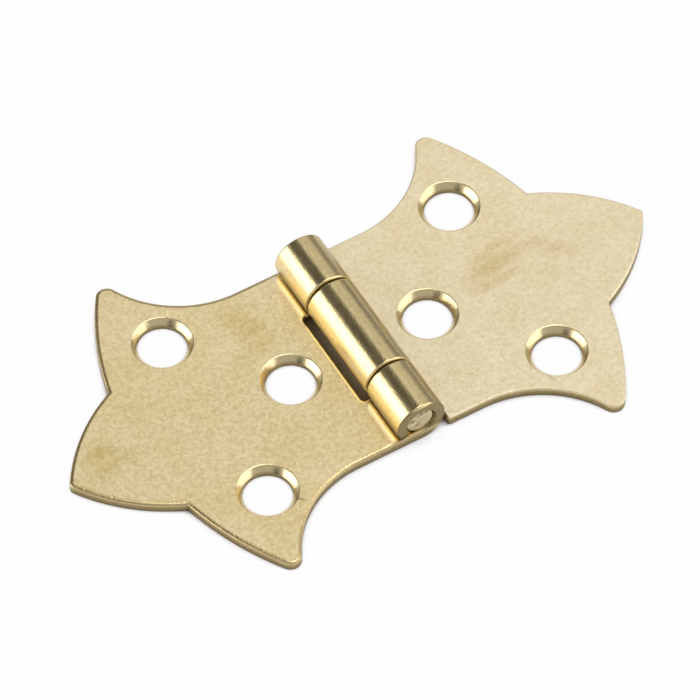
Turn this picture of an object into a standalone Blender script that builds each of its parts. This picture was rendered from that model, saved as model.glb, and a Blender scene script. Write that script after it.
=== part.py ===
"""A butterfly hinge of stamped brass, lying open on its back.

Each leaf is one sheet: a flat blank with wings and a pointed lobe, whose tongues are rolled into
knuckles round the pin. The front, with the countersunk side of the screw holes, faces up.
Units are metres. +X runs to the right leaf, +Y runs along the pin, and the back lies at z = 0.
"""

import math

import bmesh
import bpy
from mathutils import Vector

# Sheet, pin and barrel
SHEET = 0.0011
PIN_DIAMETER = 0.0029
PIN_CLEARANCE = 0.00005
BARREL_LENGTH = 0.0232
CENTRE_KNUCKLE_LENGTH = 0.0109
KNUCKLE_GAP = 0.00025
CURL_GAP = 0.00035
NOTCH_CLEARANCE = 0.0004
NOTCH_CORNER_RADIUS = 0.0004

# Outline of a leaf, measured from the pin and from the centre line
LEAF_REACH = 0.03175
HALF_WIDTH = 0.0185
STRAIGHT_SIDE_END = 0.00695
HOLLOW_RADIUS = 0.01095
WING_TIP_RADIUS = 0.0011
WING_EDGE_RADIUS = 0.0312
VALLEY_FROM_PIN = 0.0233
VALLEY_FROM_CENTRE = 0.00755
LOBE_EDGE_RADIUS = 0.0192
LOBE_TIP_RADIUS = 0.00055

# Screw holes
HOLE_DIAMETER = 0.0049
RIM_DIAMETER = 0.006
COUNTERSINK_DEPTH = 0.00065
INNER_HOLE_FROM_PIN = 0.0076
OUTER_HOLES_FROM_PIN = 0.016
OUTER_HOLES_FROM_CENTRE = 0.01

# Rounded edges and the ends of the pin
FRONT_EDGE_RADIUS = 0.00025
BACK_EDGE_RADIUS = 0.0002
PIN_RECESS = 0.0003
PIN_CHAMFER = 0.0002
STAKE_RADIUS = 0.0008
STAKE_GROOVE_WIDTH = 0.0002
STAKE_GROOVE_DEPTH = 0.0002

# How finely round stretches are cut into facets
ARC_STEP = math.radians(6)
TIP_STEP = math.radians(20)
ROLL_STEP = math.radians(7.5)
EDGE_STEPS = 2
TURNED_STEPS = 48
SHARP_ANGLE = math.radians(30)

# Working tolerances
CUTTER_OVERRUN = 0.0005
WELD_DISTANCE = 0.000001
CUT_TOLERANCE = 0.0000001
FLAT_ANGLE = math.radians(0.1)

# Sizes that follow from the ones above
EYE_RADIUS = PIN_DIAMETER / 2 + PIN_CLEARANCE
BARREL_RADIUS = EYE_RADIUS + SHEET
NOTCH_LINE = BARREL_RADIUS + NOTCH_CLEARANCE
SIDE = BARREL_LENGTH / 2
CENTRE_HALF = CENTRE_KNUCKLE_LENGTH / 2
CURL_ANGLE = 2 * math.pi - math.acos((EYE_RADIUS - CURL_GAP) / BARREL_RADIUS)
MIDDLE_OF_SHEET = EYE_RADIUS + SHEET / 2
TONGUE_LENGTH = CURL_ANGLE * MIDDLE_OF_SHEET


def clear_scene():
    for obj in list(bpy.data.objects):
        bpy.data.objects.remove(obj, do_unlink=True)


def new_collection(name):
    collection = bpy.data.collections.new(name)
    bpy.context.scene.collection.children.link(collection)
    return collection


def brass(name, colour, roughness):
    material = bpy.data.materials.new(name)
    material.use_nodes = True
    shader = material.node_tree.nodes["Principled BSDF"]
    shader.inputs["Base Color"].default_value = (*colour, 1)
    shader.inputs["Metallic"].default_value = 1
    shader.inputs["Roughness"].default_value = roughness
    return material


# Plane geometry for the outline

def arc(centre, radius, start, end, step):
    """Points from the angle start to the angle end, both included."""
    count = max(1, math.ceil(abs(end - start) / step))
    angles = [start + (end - start) * i / count for i in range(count + 1)]
    return [centre + radius * Vector((math.cos(a), math.sin(a))) for a in angles]


def angle_of(vector):
    return math.atan2(vector.y, vector.x)


def meeting_point(first, first_radius, second, second_radius):
    """Where two circles meet, on the left of the way from the first centre to the second."""
    way = second - first
    distance = way.length
    along = (distance**2 + first_radius**2 - second_radius**2) / (2 * distance)
    aside = math.sqrt(first_radius**2 - along**2)
    way.normalize()
    return first + along * way + aside * Vector((-way.y, way.x))


def round_corner(before, corner, after, radius):
    """The arc that rounds a square corner between two straight edges."""
    into = (corner - before).normalized()
    out = (after - corner).normalized()
    centre = corner + radius * (out - into)
    start = angle_of(-out)
    turn = math.copysign(math.pi / 2, into.cross(out))
    return arc(centre, radius, start, start + turn, TIP_STEP)


def wing_and_lobe():
    """The outer edge of the half leaf at y > 0, from the straight side to the tip of the lobe."""
    hollow = Vector((STRAIGHT_SIDE_END, SIDE + HOLLOW_RADIUS))
    tip_y = HALF_WIDTH - WING_TIP_RADIUS
    to_tip = HOLLOW_RADIUS + WING_TIP_RADIUS
    wing_tip = Vector((hollow.x + math.sqrt(to_tip**2 - (hollow.y - tip_y) ** 2), tip_y))
    lobe_tip = Vector((LEAF_REACH - LOBE_TIP_RADIUS, 0))
    valley = Vector((VALLEY_FROM_PIN, VALLEY_FROM_CENTRE))
    wing_edge = meeting_point(
        valley, WING_EDGE_RADIUS, wing_tip, WING_EDGE_RADIUS - WING_TIP_RADIUS
    )
    lobe_edge = meeting_point(
        lobe_tip, LOBE_EDGE_RADIUS - LOBE_TIP_RADIUS, valley, LOBE_EDGE_RADIUS
    )
    hollow_end = angle_of(wing_tip - hollow)
    tip_end = angle_of(wing_tip - wing_edge)
    lobe_start = angle_of(valley - lobe_edge)
    lobe_end = angle_of(lobe_tip - lobe_edge)
    points = arc(hollow, HOLLOW_RADIUS, -math.pi / 2, hollow_end, ARC_STEP)
    points += arc(wing_tip, WING_TIP_RADIUS, hollow_end + math.pi, tip_end, TIP_STEP)[1:]
    points += arc(wing_edge, WING_EDGE_RADIUS, tip_end, angle_of(valley - wing_edge), ARC_STEP)[1:]
    points += arc(lobe_edge, LOBE_EDGE_RADIUS, lobe_start, lobe_end, ARC_STEP)[1:]
    points += arc(lobe_tip, LOBE_TIP_RADIUS, lobe_end, 0, TIP_STEP)[1:]
    return points


def inner_edge(tongues):
    """The edge beside the barrel, from y = SIDE down to -SIDE, with its tongues laid out flat."""
    corners = [Vector((STRAIGHT_SIDE_END, SIDE)), Vector((NOTCH_LINE, SIDE))]
    for top, bottom in tongues:
        corners += [
            Vector((NOTCH_LINE, top)),
            Vector((-TONGUE_LENGTH, top)),
            Vector((-TONGUE_LENGTH, bottom)),
            Vector((NOTCH_LINE, bottom)),
        ]
    corners += [Vector((NOTCH_LINE, -SIDE)), Vector((STRAIGHT_SIDE_END, -SIDE))]
    points = []
    for before, corner, after in zip(corners, corners[1:], corners[2:]):
        is_corner = (corner - before).cross(after - corner) != 0
        if is_corner and corner.x > 0:
            points += round_corner(before, corner, after, NOTCH_CORNER_RADIUS)
        elif is_corner:
            points.append(corner)
    return points


# From the flat blank to the rolled leaf

def cut_blank(name, tongues):
    """The flat blank, as a filled outline of the sheet's thickness, below the pin's axis."""
    far_half = wing_and_lobe()
    near_half = [Vector((p.x, -p.y)) for p in far_half[-2::-1]]
    outline = far_half + near_half + inner_edge(tongues)[::-1]
    curve = bpy.data.curves.new(name, "CURVE")
    curve.dimensions = "2D"
    curve.fill_mode = "BOTH"
    curve.extrude = SHEET / 2
    spline = curve.splines.new("POLY")
    spline.points.add(len(outline) - 1)
    for place, point in zip(spline.points, outline):
        place.co = (point.x, point.y, 0, 1)
    spline.use_cyclic_u = True
    blank = bpy.data.objects.new(name, curve)
    bpy.context.scene.collection.objects.link(blank)
    bpy.context.view_layer.update()
    mesh = bpy.data.meshes.new_from_object(blank.evaluated_get(bpy.context.evaluated_depsgraph_get()))
    bpy.data.objects.remove(blank, do_unlink=True)
    bm = bmesh.new()
    bm.from_mesh(mesh)
    bmesh.ops.remove_doubles(bm, verts=bm.verts, dist=WELD_DISTANCE)
    bmesh.ops.dissolve_limit(bm, angle_limit=FLAT_ANGLE, verts=bm.verts, edges=bm.edges)
    bmesh.ops.translate(bm, verts=bm.verts, vec=(0, 0, SHEET / 2 - BARREL_RADIUS))
    return mesh, bm


def round_rim(bm, height, radius):
    """Rounds the rim of the face that lies at this height."""
    rim = [
        edge
        for edge in bm.edges
        if all(abs(vert.co.z - height) < WELD_DISTANCE for vert in edge.verts)
    ]
    bmesh.ops.bevel(
        bm, geom=rim, offset=radius, segments=EDGE_STEPS, profile=0.5, affect="EDGES"
    )


def roll_tongues(bm):
    """Wraps what lies past the pin's axis round it. The back of the sheet becomes the outside."""
    count = math.ceil(CURL_ANGLE / ROLL_STEP)
    for i in range(count):
        bmesh.ops.bisect_plane(
            bm,
            geom=[*bm.verts, *bm.edges, *bm.faces],
            dist=CUT_TOLERANCE,
            plane_co=(-TONGUE_LENGTH * i / count, 0, 0),
            plane_no=(1, 0, 0),
        )
    for vert in bm.verts:
        if vert.co.x < 0:
            angle = -vert.co.x / MIDDLE_OF_SHEET
            radius = -vert.co.z
            vert.co.x = -radius * math.sin(angle)
            vert.co.z = -radius * math.cos(angle)


def make_leaf(name, tongues, material):
    mesh, bm = cut_blank(name, tongues)
    round_rim(bm, SHEET - BARREL_RADIUS, FRONT_EDGE_RADIUS)
    round_rim(bm, -BARREL_RADIUS, BACK_EDGE_RADIUS)
    roll_tongues(bm)
    bmesh.ops.recalc_face_normals(bm, faces=bm.faces)
    bm.to_mesh(mesh)
    bm.free()
    mesh.name = name
    mesh.materials.clear()
    mesh.materials.append(material)
    return bpy.data.objects.new(name, mesh)


# Turned pieces

def turned(name, profile):
    """Turns a profile of (radius, height) points, listed from the top down, about Z."""
    mesh = bpy.data.meshes.new(name)
    edges = [(i, i + 1) for i in range(len(profile) - 1)]
    mesh.from_pydata([(radius, 0, height) for radius, height in profile], edges, [])
    obj = bpy.data.objects.new(name, mesh)
    screw = obj.modifiers.new("turn", "SCREW")
    screw.angle = 2 * math.pi
    screw.steps = TURNED_STEPS
    screw.render_steps = TURNED_STEPS
    screw.use_merge_vertices = True
    screw.merge_threshold = WELD_DISTANCE
    return obj


def pin_end():
    """From the middle of the end face to the rim: a button, the stake's groove and a chamfer."""
    end = SIDE - PIN_RECESS
    radius = PIN_DIAMETER / 2
    groove_middle = STAKE_RADIUS + STAKE_GROOVE_WIDTH / 2
    return [
        (0, end),
        (STAKE_RADIUS, end),
        (groove_middle, end - STAKE_GROOVE_DEPTH),
        (STAKE_RADIUS + STAKE_GROOVE_WIDTH, end),
        (radius - PIN_CHAMFER, end),
        (radius, end - PIN_CHAMFER),
    ]


def make_pin(material):
    upper = pin_end()
    lower = [(radius, -height) for radius, height in reversed(upper)]
    pin = turned("hinge_pin", upper + lower)
    pin.rotation_euler.x = math.pi / 2
    pin.data.materials.append(material)
    return pin


def hole_cutter(name, x, y):
    """A through hole with its countersink, which keeps its slope above the sheet."""
    hole = HOLE_DIAMETER / 2
    rim = RIM_DIAMETER / 2
    slope = (rim - hole) / COUNTERSINK_DEPTH
    profile = [
        (0, SHEET + CUTTER_OVERRUN),
        (rim + slope * CUTTER_OVERRUN, SHEET + CUTTER_OVERRUN),
        (hole, SHEET - COUNTERSINK_DEPTH),
        (hole, -CUTTER_OVERRUN),
        (0, -CUTTER_OVERRUN),
    ]
    cutter = turned(name, profile)
    cutter.location = (x, y, 0)
    cutter.hide_render = True
    cutter.display_type = "WIRE"
    return cutter


def hole_places():
    """Three screw holes in each leaf."""
    return [
        (side * x, y)
        for side in (-1, 1)
        for x, y in (
            (INNER_HOLE_FROM_PIN, 0),
            (OUTER_HOLES_FROM_PIN, OUTER_HOLES_FROM_CENTRE),
            (OUTER_HOLES_FROM_PIN, -OUTER_HOLES_FROM_CENTRE),
        )
    ]


def shade(obj):
    obj.data.shade_smooth()
    obj.data.set_sharp_from_angle(angle=SHARP_ANGLE)


def main():
    clear_scene()
    parts = new_collection("butterfly_hinge")
    cutters = new_collection("hole_cutters")
    cutters.hide_render = True

    axis = bpy.data.objects.new("hinge_axis", None)
    axis.empty_display_size = BARREL_RADIUS
    axis.location.z = BARREL_RADIUS
    parts.objects.link(axis)

    plate = brass("satin_brass_plate", (0.74, 0.58, 0.31), 0.38)
    wire = brass("brass_pin_wire", (0.70, 0.60, 0.42), 0.32)

    outer_start = CENTRE_HALF + KNUCKLE_GAP
    left = make_leaf("left_leaf", [(SIDE, outer_start), (-outer_start, -SIDE)], plate)
    left.rotation_euler.z = math.pi
    right = make_leaf("right_leaf", [(CENTRE_HALF, -CENTRE_HALF)], plate)
    pin = make_pin(wire)

    for i, (x, y) in enumerate(hole_places()):
        cutters.objects.link(hole_cutter(f"hole_cutter_{i + 1}", x, y))
    for piece in (left, right, pin):
        parts.objects.link(piece)
        piece.parent = axis
        shade(piece)
    for leaf in (left, right):
        drill = leaf.modifiers.new("screw_holes", "BOOLEAN")
        drill.operation = "DIFFERENCE"
        drill.solver = "EXACT"
        drill.operand_type = "COLLECTION"
        drill.collection = cutters


main()
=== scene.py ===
# %% [markdown]
# # A butterfly hinge in stamped brass
#
# A butterfly hinge is screwed flat on the outside of a box or a cabinet, so its outline is part of
# the ornament: each leaf has two wings and a pointed lobe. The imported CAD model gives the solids,
# the sizes and the joint. This file dresses them: finer meshes with rounded edges, and the brass
# finishes that the stamping, the rolling and the countersinking leave.

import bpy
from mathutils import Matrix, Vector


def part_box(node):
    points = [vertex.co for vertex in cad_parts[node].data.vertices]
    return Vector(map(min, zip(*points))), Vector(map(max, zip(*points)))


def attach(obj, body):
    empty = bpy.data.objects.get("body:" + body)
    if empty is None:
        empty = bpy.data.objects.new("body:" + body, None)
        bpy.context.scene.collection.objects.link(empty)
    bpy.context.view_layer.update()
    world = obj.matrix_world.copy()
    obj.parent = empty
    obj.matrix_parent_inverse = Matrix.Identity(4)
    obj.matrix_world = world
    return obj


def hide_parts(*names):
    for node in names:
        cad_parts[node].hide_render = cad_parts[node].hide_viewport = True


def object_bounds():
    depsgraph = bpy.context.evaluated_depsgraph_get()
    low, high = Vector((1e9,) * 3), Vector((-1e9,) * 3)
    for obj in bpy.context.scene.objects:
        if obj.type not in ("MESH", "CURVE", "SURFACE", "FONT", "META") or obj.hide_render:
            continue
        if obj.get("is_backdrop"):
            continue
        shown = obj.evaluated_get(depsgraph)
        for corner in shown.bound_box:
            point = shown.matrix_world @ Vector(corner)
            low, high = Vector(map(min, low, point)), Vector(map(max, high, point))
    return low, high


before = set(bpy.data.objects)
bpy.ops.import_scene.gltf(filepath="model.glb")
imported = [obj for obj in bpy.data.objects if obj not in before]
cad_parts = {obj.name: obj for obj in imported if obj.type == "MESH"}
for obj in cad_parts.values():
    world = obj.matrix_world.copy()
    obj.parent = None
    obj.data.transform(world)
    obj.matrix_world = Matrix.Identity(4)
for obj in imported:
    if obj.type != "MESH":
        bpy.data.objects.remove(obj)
cad_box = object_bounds()

# %% The modules that the cells use
import math

import bmesh
import bpy
from mathutils import Matrix, Vector

MM = 0.001

# %% [markdown]
# ## The camera
#
# The hinge is seen from above its near left side through a long lens, so its edges stay almost
# parallel. The round screw holes give the view: a circle turns into an ellipse whose shape and
# tilt say where the camera stands. The outline then gives the scale. A lens is set here by its
# focal length in pixels, because that is what a fit to pixels finds.

# %% Place the camera
FRAME_SIDE = 700
FOCAL_PIXELS = 9253
PIXELS_PER_MM = 10.454
ORIGIN_PIXEL = (359.41, 353.31)
AZIMUTH = math.radians(-30.62)
ELEVATION = math.radians(54.114)

camera_back = Vector(
    (
        math.sin(AZIMUTH) * math.cos(ELEVATION),
        -math.cos(AZIMUTH) * math.cos(ELEVATION),
        math.sin(ELEVATION),
    )
)
camera_right = Vector((math.cos(AZIMUTH), math.sin(AZIMUTH), 0))
camera_up = camera_back.cross(camera_right)
distance = FOCAL_PIXELS / PIXELS_PER_MM * MM
aside, below = [(place - FRAME_SIDE / 2) / PIXELS_PER_MM * MM for place in ORIGIN_PIXEL]

lens = bpy.data.cameras.new("long_lens")
lens.lens = lens.sensor_width * FOCAL_PIXELS / FRAME_SIDE
lens.clip_start = 0.05
lens.clip_end = 20
camera = bpy.data.objects.new("camera", lens)
turn = Matrix((camera_right, camera_up, camera_back)).transposed()
spot = camera_back * distance - camera_right * aside + camera_up * below
camera.matrix_world = Matrix.Translation(spot) @ turn.to_4x4()
bpy.context.scene.collection.objects.link(camera)
bpy.context.scene.camera = camera
print(f"lens {lens.lens:.0f} mm at {distance:.3f} m")

# %% [markdown]
# ## The sizes
#
# Each leaf is one piece of sheet. Its outline, its tongues and its holes have the same sizes as
# the CAD solids, so that a screw, a finger or a collision meets what the picture shows.

# %% Sheet, pin and barrel
SHEET = 1.1 * MM
PIN_RADIUS = 1.45 * MM
EYE_RADIUS = 1.5 * MM
BARREL_RADIUS = EYE_RADIUS + SHEET
SIDE = 11.6 * MM
CENTRE_HALF = 5.45 * MM
KNUCKLE_GAP = 0.25 * MM
CURL_GAP = 0.35 * MM
NOTCH_LINE = BARREL_RADIUS + 0.4 * MM
NOTCH_CORNER = 0.4 * MM
print(f"barrel {2 * BARREL_RADIUS / MM:.1f} mm across and {2 * SIDE / MM:.1f} mm long")

# %% Outline and screw holes
LEAF_REACH = 31.75 * MM
HALF_WIDTH = 18.5 * MM
STRAIGHT_SIDE_END = 6.95 * MM
HOLLOW_RADIUS = 10.95 * MM
WING_TIP_RADIUS = 1.1 * MM
WING_EDGE_RADIUS = 31.2 * MM
VALLEY = Vector((23.3 * MM, 7.55 * MM))
LOBE_EDGE_RADIUS = 19.2 * MM
LOBE_TIP_RADIUS = 0.55 * MM
HOLE_RADIUS = 2.45 * MM
RIM_RADIUS = 3.0 * MM
COUNTERSINK = 0.65 * MM
INNER_HOLE = Vector((7.6 * MM, 0))
OUTER_HOLE = Vector((16 * MM, 10 * MM))
print(f"leaf {2 * HALF_WIDTH / MM:.1f} mm wide, holes {2 * HOLE_RADIUS / MM:.1f} mm")

# %% [markdown]
# ## The outline of a leaf
#
# Half of the outline runs from the straight side through a hollow, round the wing, down its edge
# to the valley, and along the lobe to its point. It could be drawn as a curve with handles, but
# the die that stamped it was cut in circular arcs. So each stretch is an arc, and where two arcs
# meet is found as the meeting point of two circles. No stretch then has a dent or a flat spot.

# %% Arcs and where they meet
ARC_STEP = math.radians(2)
TIP_STEP = math.radians(9)


def arc(centre, radius, start, end, step):
    """Points from the angle start to the angle end, both included, at most a step apart."""
    count = max(1, math.ceil(abs(end - start) / step))
    angles = [start + (end - start) * i / count for i in range(count + 1)]
    return [centre + radius * Vector((math.cos(a), math.sin(a))) for a in angles]


def angle_of(vector):
    return math.atan2(vector.y, vector.x)


def meeting_point(first, first_radius, second, second_radius):
    """Where two circles meet, on the left of the way from the first centre to the second."""
    way = second - first
    along = (way.length**2 + first_radius**2 - second_radius**2) / (2 * way.length)
    off = math.sqrt(first_radius**2 - along**2)
    way.normalize()
    return first + along * way + off * Vector((-way.y, way.x))


# %% Half the outer edge
def wing_and_lobe():
    """The outer edge at y > 0, from the straight side to the point of the lobe."""
    hollow = Vector((STRAIGHT_SIDE_END, SIDE + HOLLOW_RADIUS))
    drop = hollow.y - (HALF_WIDTH - WING_TIP_RADIUS)
    reach = math.sqrt((HOLLOW_RADIUS + WING_TIP_RADIUS) ** 2 - drop**2)
    wing_tip = Vector((hollow.x + reach, hollow.y - drop))
    lobe_tip = Vector((LEAF_REACH - LOBE_TIP_RADIUS, 0))
    edge_radius = WING_EDGE_RADIUS
    wing_edge = meeting_point(VALLEY, edge_radius, wing_tip, edge_radius - WING_TIP_RADIUS)
    lobe_inner = LOBE_EDGE_RADIUS - LOBE_TIP_RADIUS
    lobe_edge = meeting_point(lobe_tip, lobe_inner, VALLEY, LOBE_EDGE_RADIUS)
    hollow_end = angle_of(wing_tip - hollow)
    tip_end = angle_of(wing_tip - wing_edge)
    wing_end = angle_of(VALLEY - wing_edge)
    lobe_start = angle_of(VALLEY - lobe_edge)
    lobe_end = angle_of(lobe_tip - lobe_edge)
    points = arc(hollow, HOLLOW_RADIUS, -math.pi / 2, hollow_end, ARC_STEP)
    points += arc(wing_tip, WING_TIP_RADIUS, hollow_end + math.pi, tip_end, TIP_STEP)[1:]
    points += arc(wing_edge, edge_radius, tip_end, wing_end, ARC_STEP)[1:]
    points += arc(lobe_edge, LOBE_EDGE_RADIUS, lobe_start, lobe_end, ARC_STEP)[1:]
    points += arc(lobe_tip, LOBE_TIP_RADIUS, lobe_end, 0, TIP_STEP)[1:]
    return points


outer_half = wing_and_lobe()
print(len(outer_half), "points, widest at", round(max(p.y for p in outer_half) / MM, 2), "mm")

# %% [markdown]
# ## The tongues
#
# Before it is rolled, a knuckle is a flat tongue on the blank. Its length is the way round the
# middle of the sheet, which is the only layer that neither stretches nor shrinks in a bend. The
# tongue stops short of the leaf by the curl gap, which shows as a dark groove beside the barrel.

# %% The inner edge with its tongues
CURL_ANGLE = 2 * math.pi - math.acos((EYE_RADIUS - CURL_GAP) / BARREL_RADIUS)
MIDDLE_OF_SHEET = EYE_RADIUS + SHEET / 2
TONGUE_LENGTH = CURL_ANGLE * MIDDLE_OF_SHEET


def round_corner(before, corner, after, radius):
    """The arc that rounds a square corner between two straight edges."""
    into = (corner - before).normalized()
    out = (after - corner).normalized()
    start = angle_of(-out)
    turned_by = math.copysign(math.pi / 2, into.cross(out))
    return arc(corner + radius * (out - into), radius, start, start + turned_by, TIP_STEP)


def inner_edge(tongues):
    """The edge beside the barrel, from y = SIDE down to -SIDE, with its tongues laid out flat."""
    corners = [(STRAIGHT_SIDE_END, SIDE), (NOTCH_LINE, SIDE)]
    for top, bottom in tongues:
        corners += [(NOTCH_LINE, top), (-TONGUE_LENGTH, top)]
        corners += [(-TONGUE_LENGTH, bottom), (NOTCH_LINE, bottom)]
    corners += [(NOTCH_LINE, -SIDE), (STRAIGHT_SIDE_END, -SIDE)]
    corners = [Vector(corner) for corner in corners]
    points = []
    for before, corner, after in zip(corners, corners[1:], corners[2:]):
        is_corner = (corner - before).cross(after - corner) != 0
        if is_corner and corner.x > 0:
            points += round_corner(before, corner, after, NOTCH_CORNER)
        elif is_corner:
            points.append(corner)
    return points


print(f"tongues {TONGUE_LENGTH / MM:.2f} mm long, rolled by {math.degrees(CURL_ANGLE):.0f} degrees")

# %% [markdown]
# ## From blank to leaf
#
# The leaf is made here in the order of the real work. A filled 2D curve is the stamped blank. A
# bevel rounds its rims, which tumbling does to the real ones. Then the tongues are cut across at
# many stations and every point past the pin is wrapped round it, as the rolling die does. This
# keeps the rounded rims exact all the way round the knuckle, which a Boolean of tubes would not.
#
# The two leaves are two stampings. The left one's front rim is worn wide and takes the finish of
# the edge, whose dark colour is there a painted shade. The right one's is narrow and crisp, and
# as bright as its face.

# %% Stamp the blank
WELD = 1e-6
NO_BEND = math.radians(0.1)
ROLLED, SHEARED, CUT = 0, 1, 2


def stamp_blank(name, tongues):
    """The flat blank of the sheet's thickness, with the pin's axis as its origin."""
    near_half = [Vector((p.x, -p.y)) for p in outer_half[-2::-1]]
    outline = outer_half + near_half + inner_edge(tongues)[::-1]
    curve = bpy.data.curves.new(name, "CURVE")
    curve.dimensions = "2D"
    curve.fill_mode = "BOTH"
    curve.extrude = SHEET / 2
    spline = curve.splines.new("POLY")
    spline.points.add(len(outline) - 1)
    for place, point in zip(spline.points, outline):
        place.co = (point.x, point.y, 0, 1)
    spline.use_cyclic_u = True
    flat = bpy.data.objects.new(name, curve)
    bpy.context.scene.collection.objects.link(flat)
    bpy.context.view_layer.update()
    graph = bpy.context.evaluated_depsgraph_get()
    mesh = bpy.data.meshes.new_from_object(flat.evaluated_get(graph))
    bpy.data.objects.remove(flat, do_unlink=True)
    bm = bmesh.new()
    bm.from_mesh(mesh)
    bmesh.ops.remove_doubles(bm, verts=bm.verts, dist=WELD)
    bmesh.ops.dissolve_limit(bm, angle_limit=NO_BEND, verts=bm.verts, edges=bm.edges)
    bmesh.ops.translate(bm, verts=bm.verts, vec=(0, 0, SHEET / 2 - BARREL_RADIUS))
    for face in bm.faces:
        face.material_index = ROLLED if abs(face.normal.z) > 0.5 else SHEARED
    return mesh, bm


# %% Round the rims
RIM_STEPS = 6
WIDE_SHOULDER = (0.36 * MM, 0.16 * MM)
CRISP_SHOULDER = (0.18 * MM, 0.12 * MM)
BACK_SHOULDER = (0.2 * MM, 0.2 * MM)


def round_rim(bm, height, width, depth, finish):
    """Rounds the rim of the face at this height: a round bevel, then flattened to its depth.

    Past the pin's axis the rim becomes part of the barrel, where the rolling die polishes it,
    except at the barrel's two ends.
    """
    rim = [e for e in bm.edges if all(abs(v.co.z - height) < WELD for v in e.verts)]
    made = bmesh.ops.bevel(
        bm, geom=rim, offset=width, segments=RIM_STEPS, profile=0.5, affect="EDGES", material=finish
    )
    for face in made["faces"]:
        place = face.calc_center_median()
        if place.x < 0 and abs(place.y) < SIDE - width:
            face.material_index = ROLLED
    for vert in bm.verts:
        below = abs(height - vert.co.z)
        if below < width + WELD:
            vert.co.z = height + (vert.co.z - height) * depth / width


# %% Roll the tongues round the pin
ROLL_STEP = math.radians(3)
CUT_SNAP = 1e-7


def roll_tongues(bm):
    """Wraps what lies past the pin's axis round it. The back of the sheet becomes the outside."""
    count = math.ceil(CURL_ANGLE / ROLL_STEP)
    for i in range(count):
        station = (-TONGUE_LENGTH * i / count, 0, 0)
        every = [*bm.verts, *bm.edges, *bm.faces]
        bmesh.ops.bisect_plane(bm, geom=every, dist=CUT_SNAP, plane_co=station, plane_no=(1, 0, 0))
    for vert in bm.verts:
        if vert.co.x < 0:
            angle = -vert.co.x / MIDDLE_OF_SHEET
            radius = -vert.co.z
            vert.co.x = -radius * math.sin(angle)
            vert.co.z = -radius * math.cos(angle)


# %% [markdown]
# ## The screw holes
#
# Each hole is punched, and then countersunk with a cutter that leaves a bright cone. A turned
# cutter of the same profile and a Boolean do the same here. The cutter carries the materials of
# the cone and of the bore, and the Boolean hands them on to the faces that it cuts. Its top
# flares a little, which breaks the sharp lip that a plain cone would leave.

# %% Turn a profile
TURN_STEPS = 96


def turned(name, profile):
    """Spins a profile of (radius, height) points round Z."""
    bm = bmesh.new()
    verts = [bm.verts.new((radius, 0, height)) for radius, height in profile]
    edges = [bm.edges.new(pair) for pair in zip(verts, verts[1:])]
    about = {"axis": (0, 0, 1), "cent": (0, 0, 0), "angle": 2 * math.pi, "steps": TURN_STEPS}
    bmesh.ops.spin(bm, geom=[*verts, *edges], **about)
    bmesh.ops.remove_doubles(bm, verts=bm.verts, dist=WELD)
    bmesh.ops.recalc_face_normals(bm, faces=bm.faces)
    mesh = bpy.data.meshes.new(name)
    bm.to_mesh(mesh)
    bm.free()
    return mesh


# %% The countersink cutter
LIP = 0.05 * MM
OVERRUN = 0.3 * MM
slope = (RIM_RADIUS - HOLE_RADIUS) / COUNTERSINK
CUTTER_PROFILE = [
    (0, SHEET + OVERRUN),
    (RIM_RADIUS + LIP + 2 * slope * OVERRUN, SHEET + OVERRUN),
    (RIM_RADIUS - LIP, SHEET - LIP / slope),
    (HOLE_RADIUS, SHEET - COUNTERSINK),
    (HOLE_RADIUS, -OVERRUN),
    (0, -OVERRUN),
]


def hole_cutter(x, y):
    """A cutter that stands at this place of the leaf, with its cone and its bore marked."""
    mesh = turned("cutter", CUTTER_PROFILE)
    for face in mesh.polygons:
        face.material_index = CUT if abs(face.normal.z) > 0.1 else SHEARED
    cutter = bpy.data.objects.new("cutter", mesh)
    cutter.location = (x, y, 0)
    bpy.context.scene.collection.objects.link(cutter)
    return cutter


# %% A whole leaf
SHARP_ANGLE = math.radians(32)


def keep_result(obj):
    """Replaces the mesh with what its modifiers make of it."""
    bpy.context.view_layer.update()
    graph = bpy.context.evaluated_depsgraph_get()
    obj.data = bpy.data.meshes.new_from_object(obj.evaluated_get(graph))
    obj.modifiers.clear()


def smooth(obj):
    """Shades round stretches smoothly and keeps large flat faces flat."""
    obj.data.shade_smooth()
    obj.data.set_sharp_from_angle(angle=SHARP_ANGLE)
    weights = obj.modifiers.new("flat_faces_first", "WEIGHTED_NORMAL")
    weights.keep_sharp = True
    weights.weight = 100


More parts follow.
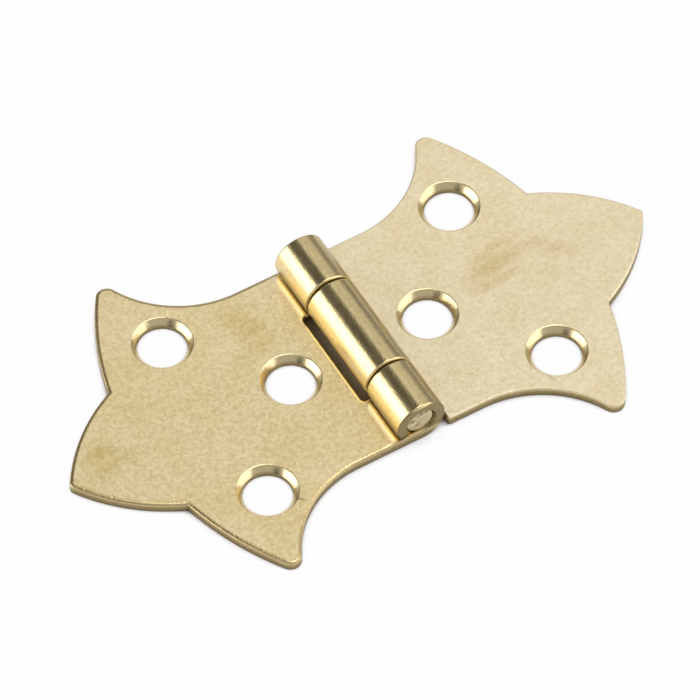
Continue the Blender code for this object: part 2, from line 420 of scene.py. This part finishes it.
def make_leaf(name, tongues, side, finishes):
    """A rolled and drilled leaf: side is 1 for the right leaf and -1 for the left one."""
    mesh, bm = stamp_blank(name, tongues)
    # the left leaf's front rim takes the sheared edge's dark colour, a painted shade
    if side < 0:
        round_rim(bm, SHEET - BARREL_RADIUS, *WIDE_SHOULDER, SHEARED)
    else:
        round_rim(bm, SHEET - BARREL_RADIUS, *CRISP_SHOULDER, ROLLED)
    round_rim(bm, -BARREL_RADIUS, *BACK_SHOULDER, SHEARED)
    roll_tongues(bm)
    bmesh.ops.recalc_face_normals(bm, faces=bm.faces)
    bmesh.ops.scale(bm, verts=bm.verts, vec=(side, side, 1))
    bmesh.ops.translate(bm, verts=bm.verts, vec=(0, 0, BARREL_RADIUS))
    mesh.materials.clear()
    bm.to_mesh(mesh)
    bm.free()
    for finish in finishes:
        mesh.materials.append(finish)
    leaf = bpy.data.objects.new(name, mesh)
    bpy.context.scene.collection.objects.link(leaf)
    places = [(INNER_HOLE.x, 0), (OUTER_HOLE.x, OUTER_HOLE.y), (OUTER_HOLE.x, -OUTER_HOLE.y)]
    cutters = [hole_cutter(side * x, y) for x, y in places]
    for cutter in cutters:
        drill = leaf.modifiers.new("drill", "BOOLEAN")
        drill.operation = "DIFFERENCE"
        drill.solver = "EXACT"
        drill.object = cutter
    keep_result(leaf)
    for cutter in cutters:
        bpy.data.objects.remove(cutter, do_unlink=True)
    smooth(leaf)
    print(name, "has", len(leaf.data.polygons), "faces")
    return leaf


# %% [markdown]
# ## The pin
#
# The pin is a piece of brass wire whose ends were peened with a few blows, so that it can't slide
# out. Its end faces are dented, and the metal has risen between the dents. A turned profile gives
# the wire, with its ends in fine rings. The ends are then pressed in, or out where the depth is
# negative, in the mesh itself, because the dents are large enough to throw highlights.

# %% Turn the pin and strike its ends
PIN_END = SIDE - 0.3 * MM
PIN_CHAMFER = 0.14 * MM
CHAMFER_STEP = math.radians(20)
PIN_RINGS = 30
RINGS_IN_CHAMFER = 3
# x, z, width and depth of each dent, in mm
BLOWS = [
    (0.18, 0.72, 0.28, 0.15),
    (-0.78, 0.05, 0.30, 0.13),
    (0.72, 0.74, 0.24, -0.17),
    (-0.25, 0.58, 0.20, -0.13),
    (0.40, -0.10, 0.50, 0.06),
    (-0.20, -0.75, 0.40, 0.07),
]


def make_pin(finish):
    """The wire with its peened ends, lying along Y."""
    radii = [PIN_RADIUS * i / PIN_RINGS for i in range(PIN_RINGS - RINGS_IN_CHAMFER)]
    top = [(radius, PIN_END) for radius in radii]
    middle = Vector((PIN_RADIUS - PIN_CHAMFER, PIN_END - PIN_CHAMFER))
    rim = [(p.x, p.y) for p in arc(middle, PIN_CHAMFER, math.pi / 2, 0, CHAMFER_STEP)]
    half = top + rim
    mesh = turned("pin", half + [(radius, -height) for radius, height in reversed(half)])
    for vert in mesh.vertices:
        x, y, z = vert.co
        if abs(z) < PIN_END - PIN_CHAMFER - WELD:
            continue
        pressed = 0
        for blow_x, blow_y, width, depth in BLOWS:
            far = math.hypot(x / MM - blow_x, y / MM - blow_y)
            pressed += depth * MM * math.exp(-((far / width) ** 2))
        vert.co.z -= math.copysign(pressed, z)
    mesh.transform(Matrix.Rotation(math.pi / 2, 4, "X"))
    mesh.transform(Matrix.Translation((0, 0, BARREL_RADIUS)))
    mesh.materials.append(finish)
    pin = bpy.data.objects.new("peened_pin", mesh)
    bpy.context.scene.collection.objects.link(pin)
    mesh.shade_smooth()
    print("peened_pin has", len(mesh.polygons), "faces")
    return pin


# %% [markdown]
# ## Writing finishes as sums
#
# A finish is a small formula: a colour, a roughness and a height that change from place to place.
# It could be drawn as boxes and wires, but a formula is easier to read as one. The class below
# wraps the output of a node, so that plus, minus and times add the Math nodes that they stand for.

# %% A wire that takes part in sums
class Wire:
    """The output of a node in a finish, which can be used like a number."""

    def __init__(self, finish, socket):
        self.finish = finish
        self.socket = socket

    def math(self, operation, *values):
        return self.finish.node("ShaderNodeMath", {"operation": operation}, values)

    def __add__(self, other):
        return self.math("ADD", self, other)

    def __sub__(self, other):
        return self.math("SUBTRACT", self, other)

    def __rsub__(self, other):
        return self.math("SUBTRACT", other, self)

    def __mul__(self, other):
        return self.math("MULTIPLY", self, other)

    def __truediv__(self, other):
        return self.math("DIVIDE", self, other)

    def __rtruediv__(self, other):
        return self.math("DIVIDE", other, self)

    def __pow__(self, other):
        return self.math("POWER", self, other)

    def __abs__(self):
        return self.math("ABSOLUTE", self)

    __radd__ = __add__
    __rmul__ = __mul__

    def between(self, low, high):
        """Rises smoothly from 0 at low to 1 at high."""
        span = {"Value": self, "From Min": low, "From Max": high}
        return self.finish.node("ShaderNodeMapRange", {"interpolation_type": "SMOOTHSTEP"}, span)


# %% A finish
class Finish:
    """A metal finish, with one method that adds any node to it."""

    def __init__(self, name):
        self.material = bpy.data.materials.new(name)
        self.material.use_nodes = True
        self.tree = self.material.node_tree
        self.shader = self.tree.nodes["Principled BSDF"]
        self.place = self.node("ShaderNodeTexCoord", out="Object")

    def fill(self, socket, value):
        if isinstance(value, Wire):
            self.tree.links.new(value.socket, socket)
        elif isinstance(value, (tuple, list)) and socket.type == "RGBA":
            socket.default_value = (*value, 1)
        else:
            socket.default_value = value

    def node(self, kind, settings=None, inputs=(), out=None):
        """Adds a node: its settings first, then the values or links of its sockets."""
        node = self.tree.nodes.new(kind)
        for key, value in (settings or {}).items():
            setattr(node, key, value)
        sockets = [socket for socket in node.inputs if socket.enabled]
        named = {socket.name: socket for socket in sockets}
        pairs = inputs.items() if isinstance(inputs, dict) else enumerate(inputs)
        for key, value in pairs:
            self.fill(named[key] if isinstance(key, str) else sockets[key], value)
        outputs = [socket for socket in node.outputs if socket.enabled]
        chosen = [socket for socket in outputs if out is None or socket.name == out]
        return Wire(self, chosen[0])

    def axes(self):
        """The place on the object as its three coordinates."""
        return [self.node("ShaderNodeSeparateXYZ", None, [self.place], axis) for axis in "XYZ"]

    def noise(self, grain, detail=2.0, stretch=None, place=None):
        """Noise from 0 to 1 whose lumps are about as long as grain."""
        place = place or self.place
        if stretch:
            place = self.node("ShaderNodeVectorMath", {"operation": "MULTIPLY"}, [place, stretch])
        values = {"Vector": place, "Scale": 1 / grain, "Detail": detail}
        return self.node("ShaderNodeTexNoise", None, values, "Fac")

    def mix(self, mask, low, high):
        """A colour between low, where mask is 0, and high, where it is 1."""
        values = {"Factor": mask, "A": low, "B": high}
        return self.node("ShaderNodeMix", {"data_type": "RGBA"}, values)

    def tint(self, colour, amount):
        """A colour made lighter or darker all over by a number."""
        values = {"Vector": colour, "Scale": amount}
        return self.node("ShaderNodeVectorMath", {"operation": "SCALE"}, values)

    def give(self, colour, roughness, height, depth):
        """Connects the formula to the shader: height runs from 0 to 1 and is depth metres high."""
        self.fill(self.shader.inputs["Base Color"], colour)
        self.fill(self.shader.inputs["Roughness"], roughness)
        self.shader.inputs["Metallic"].default_value = 1
        bump = self.node("ShaderNodeBump", None, {"Height": height, "Distance": depth})
        self.fill(self.shader.inputs["Normal"], bump)
        return self.material


# %% [markdown]
# ## Smudges
#
# Fingers leave brownish smudges where a hand would hold a leaf, and bits of dirt leave small dark
# spots. Each one is a soft oval. One wipe with a cloth has drawn streaks through them all, which
# breaks up the ovals and leaves no round outline to see. Painting them would tie them to this
# mesh, and as sums they stay in place on any mesh.

# %% Smudges from handling
SMUDGE = (0.65, 0.49, 0.17)
WIPED = 0.08
STREAK = 0.9 * MM
# x and y, length and width in mm, then the angle in radians and the strength
SMUDGES = [
    (16.2, 2.0, 5.6, 2.4, 0.30, 0.60),
    (15.2, 0.0, 3.8, 0.8, 0.10, 0.55),
    (22.4, 0.6, 4.2, 1.2, -0.77, 0.45),
    (-28.0, 0.8, 3.2, 2.2, 1.20, 0.60),
    (-25.7, 0.4, 3.2, 1.4, -0.62, 0.35),
    (-8.2, 7.0, 4.8, 2.2, -1.25, 0.65),
    (-15.8, 0.5, 0.4, 0.3, 0.00, 1.00),
    (-18.7, 4.3, 0.3, 0.3, 0.00, 1.00),
]


def smudges(finish, x, y):
    """How much of a smudge lies on each place, from 0 to 1."""
    total = 0
    for at_x, at_y, length, width, angle, strength in SMUDGES:
        off_x, off_y = x - at_x * MM, y - at_y * MM
        along = off_x * math.cos(angle) + off_y * math.sin(angle)
        across = off_y * math.cos(angle) - off_x * math.sin(angle)
        far = (along / (length * MM)) ** 2 + (across / (width * MM)) ** 2
        total = (1 - far.between(0.0, 1.0)) * strength + total
    turned_by = {"Vector": finish.place, "Angle": -WIPED}
    along_wipe = finish.node("ShaderNodeVectorRotate", {"rotation_type": "Z_AXIS"}, turned_by)
    streaks = finish.noise(STREAK, 4, (0.2, 1, 1), along_wipe)
    return total * (streaks.between(0.25, 0.75) * 0.8 + 0.2)


print(len(SMUDGES), "smudges")

# %% [markdown]
# ## The satin sheet and the polished knuckles
#
# Tumbling leaves the flat faces satin: pale, with a fine grain that turns every reflection into a
# soft glow. The rolling die polishes the knuckles, so they are warmer and mirror the studio, and
# it leaves a narrow glossy strip on the leaf beside them. The strip's very pale colour is a painted
# highlight, the reflection of the barrel's lit side. All of this is one sheet of metal, so it is
# one finish here, and masks lead from satin to polish.
#
# The grain is mostly a change of colour. A grain that is only bump looks embossed, and one that
# only lightens and darkens looks like dust. So its dark flecks are browner and its light ones
# whiter than the sheet. The right leaf is paler, with less grain, and the sheet pales across the
# barrel towards it.

# %% Satin brass
PALE_BRASS = (0.90, 0.785, 0.545)
WARM_BRASS = (0.80, 0.66, 0.355)
DARK_FLECK = (0.87, 0.85, 0.77)
LIGHT_FLECK = (1.11, 1.12, 1.19)
CLOUD = 4 * MM
SPECK = 0.42 * MM


def satin_colour(finish, grain, mottle, front):
    """Clouds of pale and warm brass, with smudges on the front, and with flecks and specks."""
    x, y, _ = finish.axes()
    cloud = finish.noise(CLOUD, 3).between(0.3, 0.7) * 0.4
    paler = x.between(-4 * MM, 4 * MM) * 0.6 + x.between(4 * MM, 30 * MM) * 0.15
    speck = finish.noise(SPECK, 1).between(0.70, 0.78) * 0.25
    sheet = finish.mix(cloud + paler, WARM_BRASS, PALE_BRASS)
    sheet = finish.mix(smudges(finish, x, y) * front + speck, sheet, SMUDGE)
    fleck = (grain * 0.52 + mottle * 0.44 - 0.48) * (1 - paler * 0.6) + 0.5
    flecks = finish.mix(fleck, DARK_FLECK, LIGHT_FLECK)
    flecks = finish.tint(flecks, y.between(-6 * MM, 14 * MM) * 0.06 + 1.0)
    return finish.node("ShaderNodeVectorMath", {"operation": "MULTIPLY"}, [sheet, flecks])


# %% Rolled sheet
POLISHED_BRASS = (0.86, 0.69, 0.36)
# a painted highlight: the strip beside the barrel mirrors the barrel's lit side
STRIP_HIGHLIGHT_BRASS = (0.98, 0.94, 0.76)
GRAIN = 0.2 * MM
MOTTLE = 0.5 * MM
DRAWN = 0.3 * MM
STRIP_END = (3.05 * MM, 3.25 * MM)
DENTS_START = (3.0 * MM, 4.6 * MM)
DENT_DEPTH = 0.012 * MM


def rolled_sheet():
    """Satin on the leaf, polish on the barrel, and gloss with a painted highlight on the strip
    between them.
    """
    finish = Finish("rolled_sheet")
    x, _, z = finish.axes()
    from_pin = abs(x)
    front = z.between(SHEET * 0.3, SHEET * 0.7)
    above = z.between(SHEET + 0.1 * MM, SHEET + 0.7 * MM)
    barrel = 1 - from_pin.between(BARREL_RADIUS, BARREL_RADIUS + 0.15 * MM)
    rolled = above.math("MAXIMUM", above, barrel)
    # the strip is glossy, and its pale colour is a painted highlight
    gloss_and_highlight_strip = (1 - from_pin.between(*STRIP_END)) * front
    grain = finish.noise(GRAIN, 3).between(0.3, 0.7)
    mottle = finish.noise(MOTTLE, 3).between(0.3, 0.7)
    drawn = finish.noise(DRAWN, 3, (1, 0.12, 1))
    # The right flank is duller, and darker by a painted shade; the left one is rougher low down
    dull_and_shaded_right_flank = x.between(0.9 * MM, 1.8 * MM)
    left_flank = (0 - x).between(1.5 * MM, 2.4 * MM)
    polish = finish.tint(POLISHED_BRASS, drawn * 0.2 + mottle * 0.1 + 0.85)
    polish = finish.tint(polish, 1 - dull_and_shaded_right_flank * 0.42)
    satin = satin_colour(finish, grain, mottle, front)
    colour = finish.mix(rolled, finish.mix(gloss_and_highlight_strip, satin, STRIP_HIGHLIGHT_BRASS), polish)
    satin_roughness = 0.56 - grain * 0.06 - mottle * 0.1
    polish_roughness = drawn * 0.14 + dull_and_shaded_right_flank * 0.06 + left_flank * 0.12 + 0.11
    shiny = rolled.math("MAXIMUM", rolled, gloss_and_highlight_strip)
    roughness = satin_roughness + (polish_roughness - satin_roughness) * shiny
    dents = (grain * 0.4 + mottle * 0.32) * from_pin.between(*DENTS_START)
    height = dents * (1 - rolled) + (drawn * 0.15 + grain * 0.4) * rolled
    return finish.give(colour, roughness, height, DENT_DEPTH)


# %% [markdown]
# ## The sheared edge
#
# A stamped edge is never as bright as the face. The punch first burnishes it and then tears it,
# which leaves fine upright lines and a rough, darker band. Its dark colour is partly that band
# and partly a painted shade, for the edges mirror the floor in the hinge's own shade. The upright
# lines are noise that is squeezed along the sheet and drawn out through its thickness. Where
# other metal rubs along it, the edge is bright again at its upper rim. A pale line along the top
# of the notch beside the barrel is a painted highlight, and so is the polished colour on the crest
# of the knuckles. The end faces of the knuckles are the darkest.

# %% Sheared edge
# partly the torn band's own colour and partly a painted shade
TORN_AND_SHADED_EDGE = (0.37, 0.285, 0.135)
EDGE_BRIGHT = (0.60, 0.47, 0.24)
NOTCH_HIGHLIGHT_BRASS = (0.93, 0.83, 0.50)
UPRIGHT_LINE = 0.16 * MM
TEAR = 0.5 * MM
EDGE_DEPTH = 0.02 * MM
CREST_START = 2 * BARREL_RADIUS - 0.4 * MM
CREST_END = 2 * BARREL_RADIUS - 0.15 * MM


def sheared_edge():
    """Dark torn brass with upright lines and a painted shade, bright where rubbed, with painted
    highlights.
    """
    finish = Finish("sheared_edge")
    x, y, z = finish.axes()
    lines = finish.noise(UPRIGHT_LINE, 2, (1, 1, 0.12))
    lumps = finish.noise(TEAR, 2)
    worn = z.between(SHEET * 0.45, SHEET * 0.9) * (1 - z.between(SHEET, SHEET + 0.2 * MM))
    # painted highlight: the crest of the end rims takes the polished colour, for a glint
    glint_crest = z.between(CREST_START, CREST_END)
    end_face = z.between(SHEET, SHEET + 0.3 * MM) * (1 - glint_crest)
    between_ends = 1 - abs(y).between(SIDE - 0.4 * MM, SIDE - 0.1 * MM)
    round_notch = (1 - abs(x).between(3.4 * MM, 4.0 * MM)) * between_ends
    # painted highlight: a pale line along the top of the notch beside the barrel
    notch_rim_highlight = round_notch * z.between(SHEET * 0.8, SHEET)
    colour = finish.mix(worn, TORN_AND_SHADED_EDGE, EDGE_BRIGHT)
    colour = finish.mix(glint_crest, colour, POLISHED_BRASS)
    colour = finish.mix(notch_rim_highlight * 0.85, colour, NOTCH_HIGHLIGHT_BRASS)
    colour = finish.tint(colour, (lines * 0.3 + lumps * 0.3 + 0.70) * (1 - end_face * 0.22))
    roughness = lines * 0.2 + 0.32 - worn * 0.12 - glint_crest * 0.2
    return finish.give(colour, roughness, lines + lumps * 0.7, EDGE_DEPTH)


# %% [markdown]
# ## The cut cones
#
# The countersink cutter turns at the spot, so its marks are rings about the middle of each hole.
# The rings need the distance to the nearest hole. Both leaves mirror one another, so the absolute
# values of x and y fold the six holes onto two, and the smaller of two distances is the right one.
# Where the cone meets the bore, a darker ring is a painted shade of the bore's edge.

# %% Countersunk brass
RING_PITCH = 0.085 * MM
CHATTER = 0.35 * MM
CONE_BRASS = (0.87, 0.72, 0.41)
BORE_EDGE_SHADE = (0.68, 0.54, 0.29)
BORE_SHADE_START = HOLE_RADIUS + 0.04 * MM
BORE_SHADE_END = HOLE_RADIUS + 0.16 * MM
RING_DEPTH = 0.006 * MM


def cut_cone():
    """Bright brass with the cutter's rings, and with a painted shade at the bore."""
    finish = Finish("cut_cone")
    x, y, _ = finish.axes()
    to_inner = ((abs(x) - INNER_HOLE.x) ** 2 + y**2) ** 0.5
    to_outer = ((abs(x) - OUTER_HOLE.x) ** 2 + (abs(y) - OUTER_HOLE.y) ** 2) ** 0.5
    from_middle = to_inner.math("MINIMUM", to_inner, to_outer)
    ring = from_middle * (2 * math.pi / RING_PITCH)
    rings = ring.math("SINE", ring) * 0.5 + 0.5
    chatter = finish.noise(CHATTER, 2)
    # painted shade: a darker ring where the cone meets the bore
    bore_shade = 1 - from_middle.between(BORE_SHADE_START, BORE_SHADE_END)
    colour = finish.tint(finish.mix(bore_shade, CONE_BRASS, BORE_EDGE_SHADE), chatter * 0.16 + 0.90)
    return finish.give(colour, chatter * 0.12 + 0.14, rings * 0.4 + chatter, RING_DEPTH)


# %% [markdown]
# ## The pin wire
#
# The wire is a paler alloy than the sheet, because it has to be harder. Only its struck ends show,
# with a few scratches. The dents and the rim carry a painted shade, which follows the mesh:
# whatever lies lower than the end face was pressed in, and is darker.

# %% Peened wire
WIRE_BRASS = (0.64, 0.55, 0.32)
WIRE_SHADE = (0.26, 0.18, 0.08)
WIRE_LUMP = 0.5 * MM
SCRATCH = 0.12 * MM
SCRATCH_DEPTH = 0.012 * MM


def peened_wire():
    """Pale scratched brass, with a painted shade wherever it lies lower than the end face."""
    finish = Finish("peened_wire")
    y = finish.axes()[1]
    lumps = finish.noise(WIRE_LUMP, 3)
    scratches = finish.noise(SCRATCH, 2, (0.3, 1, 1))
    low = 1 - abs(y).between(PIN_END - 0.16 * MM, PIN_END - 0.04 * MM)
    # painted shade: darker wherever the end lies lower than its face
    shaded_wire = finish.mix(low * 0.9 + lumps * 0.15, WIRE_BRASS, WIRE_SHADE)
    colour = finish.tint(shaded_wire, scratches * 0.2 + 0.9)
    return finish.give(colour, scratches * 0.12 + 0.16, lumps + scratches * 0.2, SCRATCH_DEPTH)


# %% [markdown]
# ## The pieces on their bodies
#
# The left leaf carries the pin, which is tight in its two knuckles, and the right leaf turns on
# it. So each piece rides on the body of the node that it stands for.

# %% Make and seat the pieces
sheet_finishes = [rolled_sheet(), sheared_edge(), cut_cone()]
for finish in sheet_finishes:
    print(finish.name, "has", len(finish.node_tree.nodes), "nodes")
outer_start = CENTRE_HALF + KNUCKLE_GAP
outer_tongues = [(SIDE, outer_start), (-outer_start, -SIDE)]
centre_tongue = [(CENTRE_HALF, -CENTRE_HALF)]
pieces = {
    "left_leaf": make_leaf("left_leaf_sheet", outer_tongues, -1, sheet_finishes),
    "right_leaf": make_leaf("right_leaf_sheet", centre_tongue, 1, sheet_finishes),
    "hinge_pin": make_pin(peened_wire()),
}
for node, piece in pieces.items():
    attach(piece, "right_side" if node == "right_leaf" else "left_side")
    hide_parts(node)
    low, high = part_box(node)
    print(node, "stands in", [round((b - a) / MM, 2) for a, b in zip(low, high)], "mm")

# %% [markdown]
# ## The studio
#
# Brass is a mirror, so its looks are those of the room, and each lamp and card is there for what
# mirrors it. The left softbox is the bright stripe of the barrel. The front one is in the cones
# and in the near rims, and the top one lights the leaves. The dark card above and behind is the
# dark band of the barrel, and the two lower ones shade the cones. The card at the back and the
# one low on the right keep the barrel's right side from going black. A grey tent is the rest of
# the room. The camera sees none of them, only the floor.

# %% Softboxes
CARD_DISTANCE = 1.2
# azimuth and elevation, width and height in degrees, then the level
SOFTBOXES = {
    "left_softbox": (156, 18, 52, 46, 2.0),
    "front_softbox": (-33, 24, 54, 52, 1.1),
    "top_softbox": (22, 76, 30, 30, 2.7),
}


def toward(azimuth, elevation):
    """The direction at these degrees, counted from +X towards +Y and up from the floor."""
    a, e = math.radians(azimuth), math.radians(elevation)
    return Vector((math.cos(a) * math.cos(e), math.sin(a) * math.cos(e), math.sin(e)))


def facing_hinge(obj, azimuth, elevation):
    """Hangs an object so that its -Z side faces the hinge."""
    direction = toward(azimuth, elevation)
    obj.rotation_mode = "QUATERNION"
    obj.rotation_quaternion = direction.to_track_quat("Z", "Y")
    obj.location = direction * CARD_DISTANCE
    obj.visible_camera = False
    bpy.context.scene.collection.objects.link(obj)
    obj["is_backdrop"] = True


def span(degrees):
    """The length that covers this angle at the distance of the cards."""
    return 2 * CARD_DISTANCE * math.tan(math.radians(degrees) / 2)


def softbox(name, azimuth, elevation, wide, high, level):
    """A rectangular lamp whose face is as bright as a white surface times level."""
    lamp = bpy.data.lights.new(name, "AREA")
    lamp.shape = "RECTANGLE"
    lamp.size = span(wide)
    lamp.size_y = span(high)
    lamp.energy = level * math.pi * lamp.size * lamp.size_y
    facing_hinge(bpy.data.objects.new(name, lamp), azimuth, elevation)


for name, values in SOFTBOXES.items():
    softbox(name, *values)
print(len(SOFTBOXES), "softboxes at", CARD_DISTANCE, "m")

# %% Cards that fade out at their borders
# azimuth and elevation, width and height in degrees, then the level
CARDS = {
    "dark_card": (113, 64, 56, 60, 0.1),
    "dark_back_card": (97, 18, 44, 60, 0.12),
    "dark_front_card": (208, 26, 28, 44, 0.16),
    "back_card": (43, 44, 60, 50, 0.6),
    "right_card": (30, 2, 90, 60, 0.3),
}


def glow(name, w, h, level):
    """An emission of this level in the middle of a card, see-through at its border."""
    paint = Finish(name)
    tree = paint.tree
    tree.nodes.remove(paint.shader)
    x, y, _ = paint.axes()
    from_middle = ((x / w) ** 2 + (y / h) ** 2) ** 0.5
    light = paint.node("ShaderNodeEmission", None, {"Color": (1, 1, 1), "Strength": level})
    clear = paint.node("ShaderNodeBsdfTransparent")
    fading = from_middle.between(0.5, 1.0)
    both = paint.node("ShaderNodeMixShader", None, [fading, light, clear])
    tree.links.new(both.socket, tree.nodes["Material Output"].inputs["Surface"])
    return paint.material


def card(name, azimuth, elevation, wide, high, level):
    """A flat card, lit from behind where its level is high and dark where it is low."""
    w, h = span(wide) / 2, span(high) / 2
    mesh = bpy.data.meshes.new(name)
    mesh.from_pydata([(-w, -h, 0), (w, -h, 0), (w, h, 0), (-w, h, 0)], [], [(0, 1, 2, 3)])
    mesh.materials.append(glow(name, w, h, level))
    facing_hinge(bpy.data.objects.new(name, mesh), azimuth, elevation)


for name, values in CARDS.items():
    card(name, *values)
print(len(CARDS), "cards")

# %% The tent
TENT_RADIUS = 2.5
TENT_LEVEL = 0.49


def make_tent():
    """A grey half sphere, which the metal mirrors wherever there is no card and no lamp."""
    bm = bmesh.new()
    bmesh.ops.create_uvsphere(bm, u_segments=64, v_segments=32, radius=TENT_RADIUS)
    low = [vert for vert in bm.verts if vert.co.z < -WELD]
    bmesh.ops.delete(bm, geom=low, context="VERTS")
    mesh = bpy.data.meshes.new("tent")
    bm.to_mesh(mesh)
    bm.free()
    paint = Finish("tent_cloth")
    paint.tree.nodes.remove(paint.shader)
    light = paint.node("ShaderNodeEmission", None, {"Color": (1, 1, 1), "Strength": TENT_LEVEL})
    paint.tree.links.new(light.socket, paint.tree.nodes["Material Output"].inputs["Surface"])
    mesh.materials.append(paint.material)
    tent = bpy.data.objects.new("tent", mesh)
    tent.visible_camera = False
    bpy.context.scene.collection.objects.link(tent)
    tent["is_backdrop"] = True


make_tent()

# %% [markdown]
# ## The floor
#
# A white floor that is lit until it is white would also flood the hinge with light. So this one
# shows white by itself to the camera and in the metal, and is a plain diffuse floor to all other
# light. How open it is to the sky decides between the two: in the notch beside the barrel it
# falls back to the diffuse floor, whose colour turns a dark brown wherever it is closed in. That
# brown is a painted shade, the look of a groove full of brass reflections. A little of it is
# diffuse everywhere, which keeps the soft shadow under the hinge.

# %% The floor and the world
PAPER = (0.9, 0.9, 0.9)
CREVICE_SHADE = (0.27, 0.20, 0.105)
WHITE_SHARE = 0.97
SHADE_REACH = 4 * MM
FLOOR_HALF = 4
FLOOR_DROP = 0.02 * MM


def make_floor():
    """A large flat sheet of paper, just under the leaves."""
    paint = Finish("floor_paper")
    tree = paint.tree
    ray = {
        name: paint.node("ShaderNodeLightPath", None, (), name)
        for name in ("Is Camera Ray", "Is Glossy Ray")
    }
    shade = {"Distance": SHADE_REACH}
    open_above = paint.node("ShaderNodeAmbientOcclusion", {"samples": 8}, shade, "AO")
    seen = ray["Is Camera Ray"] * open_above.between(0.42, 0.60)
    mirrored = ray["Is Glossy Ray"] * open_above.between(0.6, 0.95)
    white = paint.node("ShaderNodeEmission", None, {"Color": (1, 1, 1), "Strength": 1.0})
    # painted shade: the paper turns dark brown where it is closed in
    shaded_paper_tone = paint.mix(open_above.between(0.28, 0.50), CREVICE_SHADE, PAPER)
    paper = paint.node("ShaderNodeBsdfDiffuse", None, {"Color": shaded_paper_tone})
    share = (mirrored + seen) * WHITE_SHARE
    both = paint.node("ShaderNodeMixShader", None, [share, paper, white])
    tree.nodes.remove(paint.shader)
    tree.links.new(both.socket, tree.nodes["Material Output"].inputs["Surface"])
    mesh = bpy.data.meshes.new("floor")
    far = FLOOR_HALF
    corners = [(-far, -far, 0), (far, -far, 0), (far, far, 0), (-far, far, 0)]
    mesh.from_pydata(corners, [], [(0, 1, 2, 3)])
    mesh.materials.append(paint.material)
    floor = bpy.data.objects.new("floor", mesh)
    floor.location.z = -FLOOR_DROP
    bpy.context.scene.collection.objects.link(floor)
    floor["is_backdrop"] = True


make_floor()
world = bpy.data.worlds.new("white_room")
bpy.context.scene.world = world
world.use_nodes = True
world.node_tree.nodes["Background"].inputs["Color"].default_value = (1, 1, 1, 1)
world.node_tree.nodes["Background"].inputs["Strength"].default_value = 1

# %% Finish
scene = bpy.context.scene
scene.view_settings.view_transform = "Standard"
bpy.context.view_layer.update()
boxes = [[list(corner) for corner in box] for box in (cad_box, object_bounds())]
print("CAD box and visual box in mm:", [[round(v / MM, 2) for v in c] for b in boxes for c in b])
